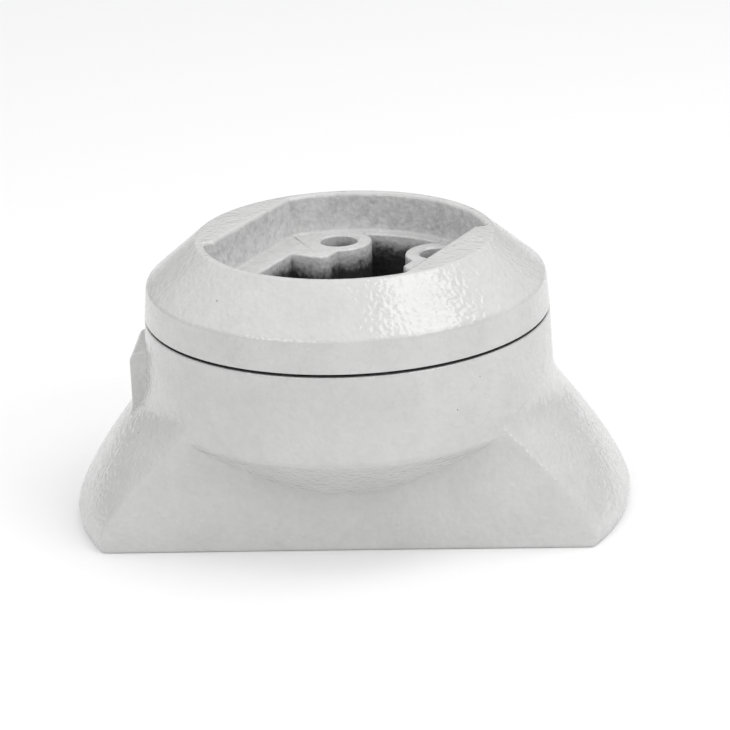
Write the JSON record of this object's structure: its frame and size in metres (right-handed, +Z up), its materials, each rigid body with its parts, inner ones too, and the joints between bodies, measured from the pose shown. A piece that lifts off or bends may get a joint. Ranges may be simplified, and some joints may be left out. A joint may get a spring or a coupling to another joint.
{
  "type": "stanchion base",
  "caption": "Deck base for a stanchion: an eared cast foot with a coned head that swivels in it, whose flat-sided recess takes the stanchion's foot, and a side lock screw.",
  "frame": {"origin": "on the swivel axis, at the foot's bottom face", "axes": "+Z up along the swivel axis, X along the two ears with the lock screw on -X, Y square to the two flat sides"},
  "size_m": [0.1678, 0.1224, 0.0831],
  "materials": {
    "foot_coat": "glossy off-white powder coat with a fine orange peel",
    "head_coat": "glossy off-white powder coat with a fine orange peel",
    "seal_rubber": "matt black",
    "bearing_acetal": "turned natural acetal",
    "pad_brass": "turned",
    "stainless": "turned stainless steel"
  },
  "bodies": {
    "foot": {"foot_casting": "foot_coat", "gap_seal": "seal_rubber", "neck_o_ring": "seal_rubber", "radial_bush": "bearing_acetal", "upper_thrust_washer": "bearing_acetal", "lower_thrust_washer": "bearing_acetal", "deck_bolt_insert_1": "stainless", "deck_bolt_insert_2": "stainless", "deck_bolt_insert_3": "stainless", "deck_bolt_insert_4": "stainless"},
    "head": {"swivel_head": "head_coat", "retaining_plate": "stainless", "retaining_screw_1": "stainless", "retaining_screw_2": "stainless", "retaining_screw_3": "stainless", "retaining_screw_4": "stainless", "stanchion_bolt_insert_1": "stainless", "stanchion_bolt_insert_2": "stainless", "stanchion_bolt_insert_3": "stainless", "stanchion_bolt_insert_4": "stainless"},
    "lock_pad": {"lock_pad": "pad_brass"},
    "lock_screw": {"lock_screw": "stainless"}
  },
  "joints": [
    {"name": "head_swivel", "type": "hinge", "parent": "foot", "child": "head", "pos_m": [0, 0, 0.06], "axis": [0, 0, 1], "continuous": true},
    {"name": "lock_pad_travel", "type": "slide", "parent": "foot", "child": "lock_pad", "axis": [-1, 0, 0], "range_m": [0, 0.00375]},
    {"name": "lock_screw_turn", "type": "hinge", "parent": "lock_pad", "child": "lock_screw", "pos_m": [-0.0545, 0, 0.0432], "axis": [-1, 0, 0], "range_deg": [0, 1080]}
  ],
  "couplings": [
    {"joint": "lock_screw_turn", "follows": "lock_pad_travel", "rad_per_m": 5026.5}
  ]
}
